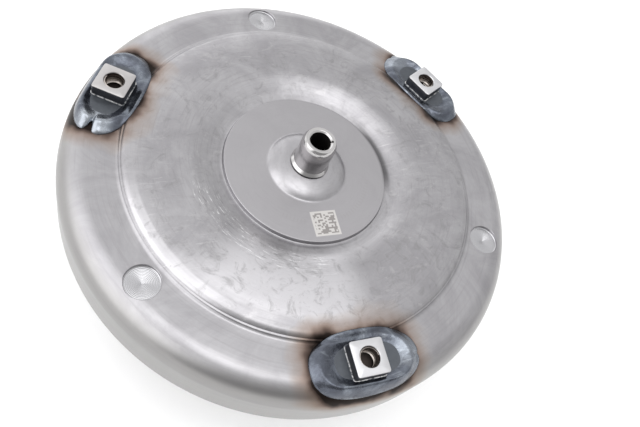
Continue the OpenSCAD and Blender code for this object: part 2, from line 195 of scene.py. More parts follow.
def lug_distance(f, angle):
    """Distance outside the base plate of the lug that stands at an angle."""
    turn = math.radians(angle - 90)
    c, s = math.cos(turn), math.sin(turn)
    along = f.plus(f.times(f.x, c), f.times(f.y, s))
    out = f.minus(f.minus(f.times(f.y, c), f.times(f.x, s)), LUG_R)
    past = f.calc("MAXIMUM", f.minus(f.calc("ABSOLUTE", along), (PLATE_L - PLATE_W) / 2), 0.0)
    reach = f.calc("SQRT", f.plus(f.times(past, past), f.times(out, out)))
    return f.minus(reach, PLATE_W / 2)


def from_point(f, cx, cy):
    """Distance in plan from a point."""
    dx, dy = f.minus(f.x, cx), f.minus(f.y, cy)
    return f.calc("SQRT", f.plus(f.times(dx, dx), f.times(dy, dy)))


def spot_distance(f, angle):
    """Distance from the middle of the spot face that stands at an angle."""
    return from_point(f, SPOT_R * math.cos(math.radians(angle)), SPOT_R * math.sin(math.radians(angle)))


def least(f, values):
    made = values[0]
    for other in values[1:]:
        made = f.calc("MINIMUM", made, other)
    return made


def cover_base(f):
    """Cloudy grey steel with rolling marks; gives the colour and the marks."""
    cloud = f.band(f.noise(f.at, 0.030, 6, 0.7, 0.8), 0.3, 0.7)
    colour = f.blend(cloud, (0.305, 0.298, 0.312), (0.405, 0.398, 0.412))
    # the shoulder and skirt are a little warmer and greener than the flat ring, and painted darker: painted
    # shade that stands in for a dark reflection
    colour = f.blend(f.times(f.band(f.r, 116, 123), 0.85), colour, (0.30, 0.294, 0.288))
    # rolling marks round the axis
    rolled = f.noise(f.around(3.0, 0.9), 1.0, 4, 0.65)
    colour = f.blend(f.times(f.band(rolled, 0.48, 0.72), 0.4), colour, (0.27, 0.262, 0.27))
    return colour, rolled


def cover_wear_and_sheen(f, colour, bearing, raised):
    """Scuffs and scratches on the raised centre, with strokes in three directions, and painted highlights on
    one side of the crown and along the step's edge.
    """
    for angle, limit in ((20, 0.63), (-35, 0.66), (75, 0.67)):
        stroke = f.band(f.noise(f.stretched(angle, 0.06, 0.7), 1.0, 6, 0.72, 0.6), limit - 0.05, limit + 0.05)
        worn = f.band(f.noise(f.at, 0.022, 2, 0.5), 0.45 + limit * 0.1, 0.62)
        stroke = f.times(f.times(stroke, raised), worn)
        colour = f.blend(f.times(stroke, 0.45), colour, (0.56, 0.55, 0.56))
        f.raise_by(stroke, 0.012)
    # painted highlight: one side of the crown is painted lighter
    painted_highlight_side = f.between(bearing, -2.3, -1.65, 0.32)
    colour = f.blend(f.times(f.times(painted_highlight_side, f.between(f.r, 55, 85, 5)), 0.85), colour, (0.56, 0.55, 0.57))
    drag = f.noise(f.vector(f.times(bearing, 9.0), f.times(f.r, 1.3), f.times(f.r, 0.2)), 1.0, 5, 0.7, 0.2)
    where = f.times(f.between(bearing, -2.9, -1.75, 0.2), f.between(f.r, 54, 64, 3))
    colour = f.blend(f.times(f.times(f.band(drag, 0.57, 0.64), where), 0.8), colour, (0.86, 0.86, 0.87))
    colour = f.blend(f.times(f.times(f.below(drag, 0.35, 0.44), where), 0.6), colour, (0.20, 0.195, 0.20))
    # painted highlight along the edge of the step on one side
    edge = f.times(f.between(bearing, -2.95, -2.45, 0.25), f.between(f.r, 90.5, STEP_R - 2.3, 1.2))
    colour = f.blend(f.times(edge, 0.4), colour, (0.62, 0.61, 0.63))
    smudge = f.times(f.band(f.noise(f.at, 0.10, 6, 0.75, 1.4), 0.50, 0.68), raised)
    colour = f.blend(f.times(smudge, 0.6), colour, (0.25, 0.245, 0.25))
    pale = f.times(f.band(f.noise(f.stretched(60, 0.07, 0.13), 1.0, 6, 0.75, 1.0), 0.54, 0.70), raised)
    colour = f.blend(f.times(pale, 0.4), colour, (0.50, 0.49, 0.50))
    return colour


def cover_centre(f, colour, bearing):
    """The plateau with its etching; gives the colour and where the plateau is matt."""
    # plateau: even, matt
    plateau = f.below(f.r, PLATEAU_R - 0.6, PLATEAU_R + 0.3)
    flat = f.times(plateau, f.band(f.r, CONE_R - 0.5, CONE_R + 1))
    colour = f.blend(f.times(flat, 0.8), colour, (0.352, 0.343, 0.356))
    # plain etched panel with an even field of dots, and two arcs of ticks
    aside, along = f.minus(f.x, PANEL_X), f.minus(f.y, PANEL_Y)
    half = f.calc("MAXIMUM", f.calc("ABSOLUTE", aside), f.calc("ABSOLUTE", along))
    panel = f.below(half, PANEL_HALF, PANEL_HALF + 0.3)
    colour = f.blend(f.times(panel, 0.75), colour, (0.66, 0.64, 0.62))
    stepped = f.node("ShaderNodeVectorMath", f.at, (0.95, 0.95, 40.0), operation="SNAP").outputs[0]
    cell = f.node("ShaderNodeTexWhiteNoise", Vector=stepped).outputs[0]
    dots = f.times(f.band(cell, 0.50, 0.51), f.below(half, PANEL_HALF - 1.1, PANEL_HALF - 0.9))
    colour = f.blend(f.times(dots, 0.75), colour, (0.20, 0.185, 0.18))
    # painted shade: a dark crescent in the moat on one side, painted into the colour
    moat_painted_shade = f.times(f.between(bearing, -0.12, 0.35, 0.35), f.between(f.r, PLATEAU_R + 0.6, 47.5, 2.6))
    colour = f.blend(f.times(moat_painted_shade, 0.8), colour, (0.06, 0.058, 0.06))
    tick = f.band(f.calc("SINE", f.times(bearing, 110.0)), 0.2, 0.6)
    arc = f.plus(f.between(bearing, -1.28, -0.30, 0.01), f.between(bearing, -2.25, -1.85, 0.01))
    tick = f.times(f.times(tick, arc), f.between(f.r, TICK_IN, TICK_OUT, 0.2))
    colour = f.blend(f.times(tick, 0.30), colour, (0.32, 0.31, 0.31))
    return colour, flat


def lug_heat(f):
    """Heat tint round the lug welds: how much of it, and its colour."""
    gap = least(f, [lug_distance(f, a) for a in LUG_ANGLES])
    gap = f.plus(gap, f.times(f.calc("MAXIMUM", f.minus(RING - 8.0, f.z), 0.0), 0.9))
    wander = f.times(f.minus(f.noise(f.at, 0.06, 2.5, 0.5), 0.5), 15.0)
    tint = f.over(f.plus(f.minus(gap, 5.0), wander), 15.0)
    heat = f.minus(1.0, f.ramp(tint, (0.0, 0.0), (0.12, 0.12), (0.32, 0.5), (0.75, 1.0)))
    brown = f.ramp(tint, (0.0, (0.020, 0.015, 0.013)), (0.10, (0.07, 0.042, 0.030)),
                   (0.26, (0.20, 0.125, 0.08)), (0.65, (0.31, 0.235, 0.17)))
    return heat, brown


def cover_finish():
    f = Finish("drawn_cover_steel", (0.47, 0.46, 0.475), rough=0.40)
    bearing = f.calc("ARCTAN2", f.y, f.x)
    raised = f.between(f.r, 48, 95, 4)
    colour, rolled = cover_base(f)
    colour = cover_wear_and_sheen(f, colour, bearing, raised)
    # small dark specks
    speck = f.band(f.noise(f.at, 0.45, 2, 0.5), 0.74, 0.80)
    colour = f.blend(f.times(speck, 0.4), colour, (0.26, 0.25, 0.25))
    # ironing streaks on the skirt
    skirt = f.below(f.z, RING - SHOULDER - 2, RING - SHOULDER + 3)
    side = f.vector(f.times(f.over(f.x, f.r), 130.0), f.times(f.over(f.y, f.r), 130.0), f.times(f.z, 0.06))
    iron = f.noise(side, 0.8, 4, 0.7)
    colour = f.blend(f.times(f.times(f.band(iron, 0.45, 0.7), skirt), 0.35), colour, (0.33, 0.33, 0.32))
    colour, flat = cover_centre(f, colour, bearing)
    # spot faces: bright turned rings
    spot = least(f, [spot_distance(f, a) for a in SPOT_ANGLES])
    inside = f.below(spot, SPOT_SIZE - 0.5, SPOT_SIZE + 0.1)
    colour = f.blend(f.times(inside, 0.8), colour, (0.47, 0.47, 0.485))
    rings = f.times(f.calc("SINE", f.times(spot, 9.0)), inside)
    f.raise_by(rings, 0.022)
    heat, brown = lug_heat(f)
    colour = f.blend(heat, colour, brown)
    rough = f.plus(f.times(rolled, 0.12), 0.27)
    rough = f.plus(rough, f.times(flat, 0.08))
    rough = f.minus(rough, f.times(inside, 0.12))
    rough = f.plus(rough, f.times(heat, 0.08))
    f.raise_by(f.noise(f.at, 1.6, 3, 0.6), 0.010)
    f.raise_by(rolled, 0.020)
    f.raise_by(f.noise(f.at, 0.05, 2, 0.5), 0.10)
    f.raise_by(f.times(f.noise(f.at, 0.13, 3, 0.5), raised), 0.10)
    return f.done(colour, rough)


def turned_finish(name, colour, rough, pitch=14.0, depth=0.006):
    """Turned or ground steel: fine grooves across the length."""
    f = Finish(name, colour, rough=rough)
    groove = f.noise(f.around(0.6, pitch * 0.1), 2.2, 5, 0.75)
    dark = tuple(c * 0.72 for c in colour)
    tone = f.blend(f.times(f.band(groove, 0.45, 0.75), 0.6), colour, dark)
    stain = f.band(f.noise(f.at, 0.16, 4, 0.6), 0.55, 0.75)
    tone = f.blend(f.times(stain, 0.25), tone, tuple(c * 0.6 for c in colour))
    f.raise_by(groove, depth)
    return f.done(tone, f.plus(f.times(groove, 0.12), rough - 0.06))


def pilot_finish():
    f = Finish("ground_pilot_steel", (0.62, 0.61, 0.62), rough=0.2)
    groove = f.noise(f.around(0.5, 1.6), 2.0, 5, 0.75)
    tone = f.blend(f.times(f.band(groove, 0.45, 0.75), 0.5), (0.50, 0.49, 0.49), (0.27, 0.26, 0.26))
    top = RING + PILOT_H
    # painted shade down the inside of the bore, below its rim
    painted_bore_shade = f.times(f.below(f.r, PILOT_BORE + 0.1, PILOT_BORE + 0.3),
                   f.below(f.z, top - 1.2, top - 0.6))
    tone = f.blend(painted_bore_shade, tone, (0.035, 0.033, 0.032))
    foot = f.below(f.z, RING + CONE_H + 0.1, RING + CONE_H + 0.5)
    tone = f.blend(foot, tone, (0.08, 0.075, 0.07))
    f.raise_by(groove, 0.006)
    return f.done(tone, f.plus(f.times(groove, 0.14), f.plus(0.05, f.times(painted_bore_shade, 0.5))))


def lug_finish():
    f = Finish("lug_forging", (0.20, 0.205, 0.22), rough=0.42)
    scale = f.noise(f.at, 0.35, 5, 0.65)
    dark = f.blend(scale, (0.050, 0.052, 0.058), (0.105, 0.108, 0.12))
    plate = f.blend(scale, (0.075, 0.082, 0.092), (0.13, 0.14, 0.157))
    low = f.below(f.z, RING + PLATE_H + 0.35, RING + PLATE_H + 0.5)
    colour = f.blend(low, dark, plate)
    ledge = f.between(f.z, RING + PLATE_H + 0.12, RING + PLATE_H + 0.42, 0.06)
    colour = f.blend(f.times(ledge, f.band(f.noise(f.at, 0.5, 3), 0.35, 0.6)), colour, (0.62, 0.62, 0.62))
    face = f.band(f.z, RING + LUG_H - 0.42, RING + LUG_H - 0.30)
    mill = f.noise(f.stretched(40, 0.12, 5.0), 1.0, 4, 0.7)
    bright = f.blend(mill, (0.53, 0.53, 0.545), (0.64, 0.64, 0.655))
    colour = f.blend(face, colour, bright)
    middles = [(LUG_R * math.cos(math.radians(a)), LUG_R * math.sin(math.radians(a))) for a in LUG_ANGLES]
    gap = least(f, [from_point(f, cx, cy) for cx, cy in middles])
    # the second lug's face is painted darker than the others: painted shade
    second = f.below(from_point(f, *middles[1]), 24, 26)
    colour = f.blend(f.times(f.times(second, face), 0.8), colour, (0.40, 0.385, 0.38))
    # painted shade inside the threaded hole
    hole = f.times(f.below(gap, 5.6, 5.8), f.below(f.z, RING + LUG_H - 0.5, RING + LUG_H - 0.3))
    colour = f.blend(f.times(hole, 0.95), colour, (0.05, 0.040, 0.036))
    f.raise_by(scale, 0.08)
    f.raise_by(f.times(mill, face), 0.015)
    rough = f.minus(f.plus(0.34, f.times(scale, 0.22)), f.times(face, 0.08))
    return f.done(colour, rough)


def weld_finish(name, end_highlights=True):
    f = Finish(name, (0.14, 0.15, 0.175), rough=0.28)
    patch = f.noise(f.at, 0.09, 4, 0.6, 0.4)
    colour = f.ramp(patch, (0.28, (0.072, 0.077, 0.092)), (0.48, (0.098, 0.107, 0.13)),
                    (0.6, (0.15, 0.166, 0.195)), (0.72, (0.28, 0.305, 0.345)))
    # painted highlight: pale streaks along the bead stand in for its highlights
    skin = f.band(f.noise(f.stretched(15, 0.05, 0.22), 1.0, 5, 0.7, 0.8), 0.52, 0.68)
    colour = f.blend(f.times(skin, 0.45), colour, (0.36, 0.39, 0.43))
    soot = f.band(f.noise(f.at, 0.35, 5, 0.65), 0.55, 0.75)
    colour = f.blend(f.times(soot, 0.25), colour, (0.05, 0.05, 0.055))
    if end_highlights:  # painted highlight on the lobes where the bead starts and stops
        for a in LUG_ANGLES:
            t = math.radians(a)
            cx, cy = LUG_R * math.cos(t) - 25 * math.sin(t), LUG_R * math.sin(t) + 25 * math.cos(t)
            near = f.below(f.plus(from_point(f, cx, cy), f.times(patch, 8.0)), 9.5, 15.0)
            colour = f.blend(f.times(near, 0.6 if a == 150 else 0.3), colour, (0.42, 0.45, 0.49))
    f.raise_by(f.noise(f.at, 0.28, 3, 0.55), 0.22)
    return f.done(colour, f.plus(f.times(soot, 0.2), 0.25))


def shell_finish():
    f = Finish("drawn_shell_steel", (0.46, 0.455, 0.46), rough=0.4)
    cloud = f.noise(f.at, 0.03, 4, 0.6)
    rolled = f.noise(f.around(3.0, 0.8), 1.0, 4, 0.65)
    colour = f.blend(cloud, (0.42, 0.415, 0.42), (0.50, 0.495, 0.50))
    colour = f.blend(f.times(f.band(rolled, 0.5, 0.8), 0.35), colour, (0.34, 0.335, 0.335))
    wander = f.times(f.minus(f.noise(f.at, 0.08, 4, 0.6), 0.5), 8.0)
    hub = f.over(f.plus(f.minus(f.r, 41.0), wander), 12.0)
    rim = f.over(f.plus(f.minus(RING - SKIRT - 3.0, f.z), wander), 10.0)
    near = f.calc("MINIMUM", hub, rim)
    heat = f.minus(1.0, f.ramp(near, (0.0, 0.0), (0.2, 0.35), (0.5, 0.8), (0.9, 1.0)))
    brown = f.ramp(near, (0.0, (0.035, 0.03, 0.04)), (0.15, (0.09, 0.10, 0.16)),
                   (0.35, (0.25, 0.17, 0.11)), (0.7, (0.40, 0.34, 0.26)))
    colour = f.blend(heat, colour, brown)
    speck = f.band(f.noise(f.at, 0.4, 2, 0.5), 0.73, 0.80)
    colour = f.blend(f.times(speck, 0.5), colour, (0.22, 0.21, 0.20))
    f.raise_by(rolled, 0.03)
    f.raise_by(f.noise(f.at, 1.5, 3, 0.6), 0.012)
    return f.done(colour, f.plus(f.times(rolled, 0.14), 0.33))


def plain_finish(name, colour, metal, rough, grain, depth, dark=0.6):
    """Finish of the sealed inner pieces: mottled colour with a fine grain."""
    f = Finish(name, colour, metal, rough)
    mottle = f.noise(f.at, grain, 4, 0.6)
    tone = f.blend(f.band(mottle, 0.35, 0.75), colour, tuple(c * dark for c in colour))
    f.raise_by(f.noise(f.at, grain * 6, 3, 0.6), depth)
    return f.done(tone, f.plus(f.times(mottle, 0.2), rough - 0.1))


COVER = cover_finish()
PILOT = pilot_finish()
CREST = turned_finish("thread_crest_steel", (0.46, 0.42, 0.39), 0.32)
LUG = lug_finish()
WELD = weld_finish("lug_weld_metal")
SEAM = weld_finish("seam_weld_metal", False)
SHELL = shell_finish()
NECK = turned_finish("ground_neck_steel", (0.58, 0.575, 0.58), 0.26)
WEIGHT = plain_finish("balance_plate", (0.36, 0.355, 0.35), 1.0, 0.45, 0.25, 0.03)
INNER = {
    "blade_steel": plain_finish("pressed_strip", (0.48, 0.48, 0.49), 1.0, 0.36, 0.2, 0.01),
    "bearing_steel": turned_finish("bearing_steel", (0.60, 0.60, 0.61), 0.20),
    "cage_brass": plain_finish("brass_cage", (0.52, 0.40, 0.20), 1.0, 0.38, 0.3, 0.01),
    "spring_steel": plain_finish("tempered_wire", (0.12, 0.125, 0.15), 1.0, 0.34, 0.4, 0.01),
    "seal_plastic": plain_finish("seal_ring", (0.02, 0.02, 0.02), 0.0, 0.5, 0.3, 0.01),
    "friction_paper": plain_finish("friction_paper", (0.13, 0.085, 0.045), 0.0, 0.9, 0.9, 0.06),
    "cast_aluminium": plain_finish("cast_stator", (0.60, 0.60, 0.59), 1.0, 0.5, 0.35, 0.08, 0.8),
    "turned_steel": turned_finish("machined_steel", (0.52, 0.52, 0.53), 0.34),
    "shell_steel": turned_finish("drawn_inner_steel", (0.44, 0.44, 0.45), 0.40),
    "weld_metal": SEAM, "lug_steel": LUG, "drawn_steel": COVER,
}
for part in frame["record"]["subparts"]:
    node = frame["nodes"][part["node"]]
    node.data.materials.clear()
    node.data.materials.append(INNER[part["material_slot"]])


# ---------- turned pieces: one node tree spins a profile round the axis ----------
def sockets(tree, *rows):
    """Gives a node tree its inputs, a row each (key, label, kind, default if any), and its output."""
    ids = {}
    for key, label, kind, *default in rows:
        made = tree.interface.new_socket(label, in_out="INPUT", socket_type="NodeSocket" + kind)
        if default:
            made.default_value = default[0]
        ids[key] = made.identifier
    tree.interface.new_socket("Geometry", in_out="OUTPUT", socket_type="NodeSocketGeometry")
    return ids


def paint_and_end(tree, shape, finish, out):
    """The end of every node tree: real geometry with its material."""
    real, paint = tree.nodes.new("GeometryNodeRealizeInstances"), tree.nodes.new("GeometryNodeSetMaterial")
    tree.links.new(shape, real.inputs[0])
    tree.links.new(real.outputs[0], paint.inputs["Geometry"])
    tree.links.new(finish, paint.inputs["Material"])
    tree.links.new(paint.outputs[0], out.inputs[0])


def turning_tree():
    """Spins a line of points round the axis: a grid whose columns are copies of the line."""
    tree = bpy.data.node_groups.new("turn_profile", "GeometryNodeTree")
    ids = sockets(tree, ("profile", "Profile", "Geometry"), ("steps", "Steps round", "Int", 256),
                  ("points", "Profile points", "Int", 2), ("start", "Start angle", "Float", 0.0),
                  ("sweep", "Sweep angle", "Float", math.tau), ("finish", "Finish", "Material"))
    new, link = tree.nodes.new, tree.links.new
    given, out = new("NodeGroupInput"), new("NodeGroupOutput")
    profile, steps, points, start, sweep, finish = given.outputs[:6]

    def calc(operation, a, b=None):
        made = new("ShaderNodeMath")
        made.operation = operation
        for s, v in zip(made.inputs, (a, b)):
            if isinstance(v, bpy.types.NodeSocket):
                link(v, s)
            elif v is not None:
                s.default_value = v
        return made.outputs[0]

    grid, index = new("GeometryNodeMeshGrid"), new("GeometryNodeInputIndex").outputs[0]
    link(calc("ADD", steps, 1), grid.inputs["Vertices X"])
    link(points, grid.inputs["Vertices Y"])
    column = calc("FLOOR", calc("DIVIDE", calc("ADD", index, 0.5), points))
    row = calc("SUBTRACT", index, calc("MULTIPLY", column, points))
    look = new("GeometryNodeSampleIndex")
    look.data_type = "FLOAT_VECTOR"
    link(profile, look.inputs["Geometry"])
    link(new("GeometryNodeInputPosition").outputs[0], look.inputs["Value"])
    link(row, look.inputs["Index"])
    parts = new("ShaderNodeSeparateXYZ")
    link(look.outputs[0], parts.inputs[0])
    angle = calc("ADD", start, calc("MULTIPLY", sweep, calc("DIVIDE", column, steps)))
    spot = new("ShaderNodeCombineXYZ")
    link(calc("MULTIPLY", parts.outputs[0], calc("COSINE", angle)), spot.inputs[0])
    link(calc("MULTIPLY", parts.outputs[0], calc("SINE", angle)), spot.inputs[1])
    link(parts.outputs[2], spot.inputs[2])
    place, weld = new("GeometryNodeSetPosition"), new("GeometryNodeMergeByDistance")
    link(grid.outputs[0], place.inputs["Geometry"])
    link(spot.outputs[0], place.inputs["Position"])
    weld.inputs["Distance"].default_value = WELD_GAP
    link(place.outputs[0], weld.inputs["Geometry"])
    paint_and_end(tree, weld.outputs[0], finish, out)
    return tree, ids


TURN, TURN_IN = turning_tree()


def smooth(mesh, crease):
    mesh.polygons.foreach_set("use_smooth", [True] * len(mesh.polygons))
    mesh.set_sharp_from_angle(angle=math.radians(crease))


def finish_mesh(mesh, crease):
    """Faces outwards, smooth except at edges sharper than the crease angle."""
    bm = bmesh.new()
    bm.from_mesh(mesh)
    bmesh.ops.remove_doubles(bm, verts=bm.verts, dist=WELD_GAP)
    bmesh.ops.dissolve_degenerate(bm, edges=bm.edges, dist=1e-7)
    if bm.calc_volume(signed=True) < 0:
        bmesh.ops.reverse_faces(bm, faces=bm.faces)
    bm.to_mesh(mesh)
    bm.free()
    smooth(mesh, crease)


def put(name, mesh):
    made = bpy.data.objects.new(name, mesh)
    bpy.context.scene.collection.objects.link(made)
    return made


def solid(name, points, faces, finish, crease=35):
    mesh = bpy.data.meshes.new(name)
    mesh.from_pydata((np.asarray(points, float) * MM).tolist(), [], [tuple(int(i) for i in f) for f in faces])
    mesh.materials.append(finish)
    finish_mesh(mesh, crease)
    return put(name, mesh)


def turned(name, profile, finish, steps=256, start=0.0, sweep=math.tau, crease=35):
    """profile: closed list of (radius, height over the flat ring)."""
    line = [(r * MM, 0.0, (z + RING) * MM) for r, z in profile]
    line.append(line[0])
    mesh = bpy.data.meshes.new(name + "_line")
    mesh.from_pydata(line, [], [])
    made = grown(name, mesh, TURN, TURN_IN,
                 {"steps": steps, "points": len(line), "start": start, "sweep": sweep, "finish": finish})
    finish_mesh(made, crease)
    return put(name, made)


def plain(obj, name):
    """The mesh of an object with its modifiers applied."""
    bpy.context.view_layer.update()
    mesh = bpy.data.meshes.new_from_object(obj.evaluated_get(bpy.context.evaluated_depsgraph_get()))
    mesh.name = name
    return mesh


def grown(name, line, group, sockets, values):
    """Runs a node tree on a carrier mesh and returns the plain mesh that comes out."""
    tool = put(name + "_tool", line)
    mod = tool.modifiers.new("build", "NODES")
    mod.node_group = group
    for key, value in values.items():
        mod[sockets[key]] = value
    mesh = plain(tool, name)
    bpy.data.objects.remove(tool)
    return mesh


def stack_faces(n, rows):
    """Faces between rows of n points each, with both ends closed."""
    side = [(k * n + i, k * n + (i + 1) % n, (k + 1) * n + (i + 1) % n, (k + 1) * n + i)
            for k in range(rows - 1) for i in range(n)]
    return side + [tuple(range(n - 1, -1, -1)), tuple((rows - 1) * n + i for i in range(n))]


def round_tool(name, x, y, rows, n, finish):
    """A closed round solid about (x, y); rows are (radius, height over the flat ring)."""
    pts = [(x + r * math.cos(t), y + r * math.sin(t), RING + z)
           for r, z in rows for t in np.linspace(0, math.tau, n, endpoint=False)]
    return solid(name, pts, stack_faces(n, len(rows)), finish)


def cut(piece, tools, crease=35):
    """Takes the tools away from the piece."""
    for tool in tools:
        mod = piece.modifiers.new("cut", "BOOLEAN")
        mod.operation, mod.object, mod.solver = "DIFFERENCE", tool, "EXACT"
    mesh = plain(piece, piece.name)
    piece.modifiers.clear()
    old, piece.data = piece.data, mesh
    bpy.data.meshes.remove(old)
    for tool in tools:
        bpy.data.objects.remove(tool)
    smooth(mesh, crease)


def arc(cx, cz, a, b, t0, t1, n):
    """n steps of an ellipse with half axes a and b, from t0 to t1 degrees."""
    turns = [math.radians(t0 + (t1 - t0) * i / n) for i in range(n + 1)]
    return [(cx + a * math.cos(t), cz + b * math.sin(t)) for t in turns]


def flowing(points, n):
    """A smooth line through the points, n steps between each pair."""
    p = np.array(points, float)
    q = np.vstack([2 * p[0] - p[1], p, 2 * p[-1] - p[-2]])
    line = []
    for i in range(1, len(q) - 2):
        for k in range(n):
            t = k / n
            line.append(tuple(0.5 * (2 * q[i] + (q[i + 1] - q[i - 1]) * t
                                     + (2 * q[i - 1] - 5 * q[i] + 4 * q[i + 1] - q[i + 2]) * t * t
                                     + (3 * q[i] - q[i - 1] - 3 * q[i + 1] + q[i + 2]) * t ** 3)))
    line.append(tuple(p[-1]))
    return line


# ---------- front cover ----------
SHOULDER_C = COVER_R - SHOULDER
MOAT = [(PLATEAU_R + 0.9, -0.95), (PLATEAU_R + 1.8, -0.9), (48.6, -0.45), (51, 0.3), (54, 1.65), (57, 2.85),
        (59, 3.5), (61, 4.05), (63, CREST_H - 0.3)]
CROWN = [(66, CREST_H - 0.05), (70, CREST_H), (75, CREST_H - 0.1), (80, CREST_H - 0.25), (85, CREST_H - 0.5),
         (88.5, CREST_H - 0.85), (STEP_R - 5.6, CREST_H - 1.4)]
# the mound round the pilot: shares of the way out and of the way down
MOUND = ((0, 0.01), (0.27, 0.15), (0.53, 0.34), (0.71, 0.53), (0.84, 0.73), (0.94, 0.93), (1, 0.99))
FACE = ([(8.0, CONE_H), (10.6, CONE_H)]
        + flowing([(11 + (CONE_R - 11) * out, CONE_H - (CONE_H - PLATEAU_H) * down)
                   for out, down in MOUND], 3)
        + [(CONE_R + 0.7, PLATEAU_H), (32.0, PLATEAU_H), (PLATEAU_R - 0.8, PLATEAU_H)]
        + arc(PLATEAU_R - 0.4, PLATEAU_H - 0.4, 0.4, 0.4, 80, 10, 4)
        + [(PLATEAU_R + 0.2, -0.4), (PLATEAU_R + 0.5, -0.85)] + flowing(MOAT + CROWN, 3)
        + arc(STEP_R - 5.3, -0.55, 4.4, CREST_H - 0.95, 72, 30, 8)
        + arc(STEP_R + 1.3, 1.9, 2.2, 1.9, 205, 268, 7) + [(102, 0), (107, 0), (SHOULDER_C, 0)]
        + arc(SHOULDER_C, -SHOULDER, SHOULDER, SHOULDER, 86, 0, 22))
SKIRT_SIDE = [(COVER_R, z) for z in np.linspace(-SHOULDER - 4, -SKIRT + 0.4, 6)] + [(COVER_R - 0.4, -SKIRT)]
FREE = 0.04       # keeps the face that the lining meets clear of it
UNDER = SHOULDER - SHEET + FREE
ROOF = CREST_H - SHEET
INSIDE = ([(COVER_R - SHEET, -SKIRT)] + arc(SHOULDER_C, -SHOULDER, UNDER, UNDER, 0, 90, 24)
          + [(95.2, -SHEET + FREE), (93.2, -2.9), (91, ROOF - 1.4), (80, ROOF - 0.3), (70, ROOF),
             (63, ROOF - 0.4), (59, -1.1), (55, -2.7), (51, -4.4), (49, -5.2), (46, -5.6), (42.5, -3.3),
             (20, -3.3), (16.5, -1.5), (13.5, 1.8), (8, 2.2)])
cover = turned("cover", FACE + SKIRT_SIDE + INSIDE, COVER, 320)


def spot_tool(angle):
    """What a spot-facing cutter takes from the cover."""
    a, side, floor_z = math.radians(angle), SPOT_SIZE, -SPOT_DEPTH
    rows = [(0.25, floor_z - 0.35), (0.9, floor_z), (side - 0.5, floor_z), (side, floor_z + 0.35),
            (side, -0.25), (side + 0.3, 0.06), (side + 0.3, 3.0)]
    return round_tool(f"spot_tool_{angle}", SPOT_R * math.cos(a), SPOT_R * math.sin(a), rows, 72, COVER)


cut(cover, [spot_tool(a) for a in SPOT_ANGLES])
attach(cover, "housing")
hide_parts("front_cover")

# ---------- pilot ----------
TOP_R = 8.0
FOOT = [(0, 1.6), (7.2, 1.6), (8, 2.4), (8, CONE_H + 0.02), (PILOT_R + 0.3, CONE_H + 0.02),
        (PILOT_R + 0.3, CONE_H + 0.45), (PILOT_R + 1.0, CONE_H + 0.5), (PILOT_R + 1.2, CONE_H + 0.7),
        (PILOT_R + 1.15, CONE_H + 1.2), (PILOT_R, CONE_H + 2.7)]
END = [(PILOT_R - 0.06, PILOT_H - 2.6), (TOP_R + 0.15, PILOT_H - 0.25), (TOP_R - 0.05, PILOT_H),
       (PILOT_BORE + 0.95, PILOT_H), (PILOT_BORE + 0.75, PILOT_H - 0.08), (PILOT_BORE, PILOT_H - 0.8)]
pilot = turned("pilot", FOOT + [(PILOT_R, z) for z in np.linspace(CONE_H + 3.2, PILOT_H - 2.9, 8)] + END
               + [(PILOT_BORE, z) for z in np.linspace(PILOT_H - 3, PILOT_H - BORE_DEPTH, 6)]
               + [(0, PILOT_H - BORE_DEPTH - 2)], PILOT, 160, crease=24)
NICK_AT, NICK_ANGLE, NICK_R = 6.1, -0.2, 0.7      # a small nick in the rim of the bore
cut(pilot, [round_tool("nick", NICK_AT * math.cos(NICK_ANGLE), NICK_AT * math.sin(NICK_ANGLE),
                       [(NICK_R, PILOT_H - 2.5), (NICK_R, PILOT_H + 1)], 20, PILOT)], 24)
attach(pilot, "housing")
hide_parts("crank_pilot")


# ---------- drive lugs ----------
def track(l, w, angles):
    """Points of a round-ended plate outline in the given directions from its middle."""
    out = []
    for t in angles:
        d = np.array([math.cos(t), math.sin(t)])
        h = (l - w) / 2
        k = (w / 2) / max(abs(d[1]), 1e-9)
        if abs(d[0]) * k > h:
            c = h * abs(d[0])
            k = c + math.sqrt(max(c * c - h * h + w * w / 4, 0.0))
        out.append(d * k)
    return np.array(out)


def block(side, corner, angles):
    """Points of a square with rounded corners in the given directions."""
    h, out = side / 2, []
    for t in angles:
        c, s = abs(math.cos(t)), abs(math.sin(t))
        k = h / max(c, s)
        m = h - corner
        if min(c, s) * k > m:
            b = m * (c + s)
            k = b + math.sqrt(max(b * b - 2 * m * m + corner * corner, 0.0))
        out.append((math.cos(t) * k, math.sin(t) * k))
    return np.array(out)


def to_lug(points, angle):
    """From a lug's own frame (x round the rim, y outwards, z over the flat ring) to the part."""
    p = np.asarray(points, float).copy()
    p[:, 1] += LUG_R
    p[:, 2] += RING
    return p @ np.array(Matrix.Rotation(math.radians(angle - 90), 3, "Z")).T


def rim_directions(n):
    """n directions round a lug, closer together at its two ends."""
    t = np.linspace(0, math.tau, n, endpoint=False)
    return np.arctan2(np.sin(t) * 0.62, np.cos(t))


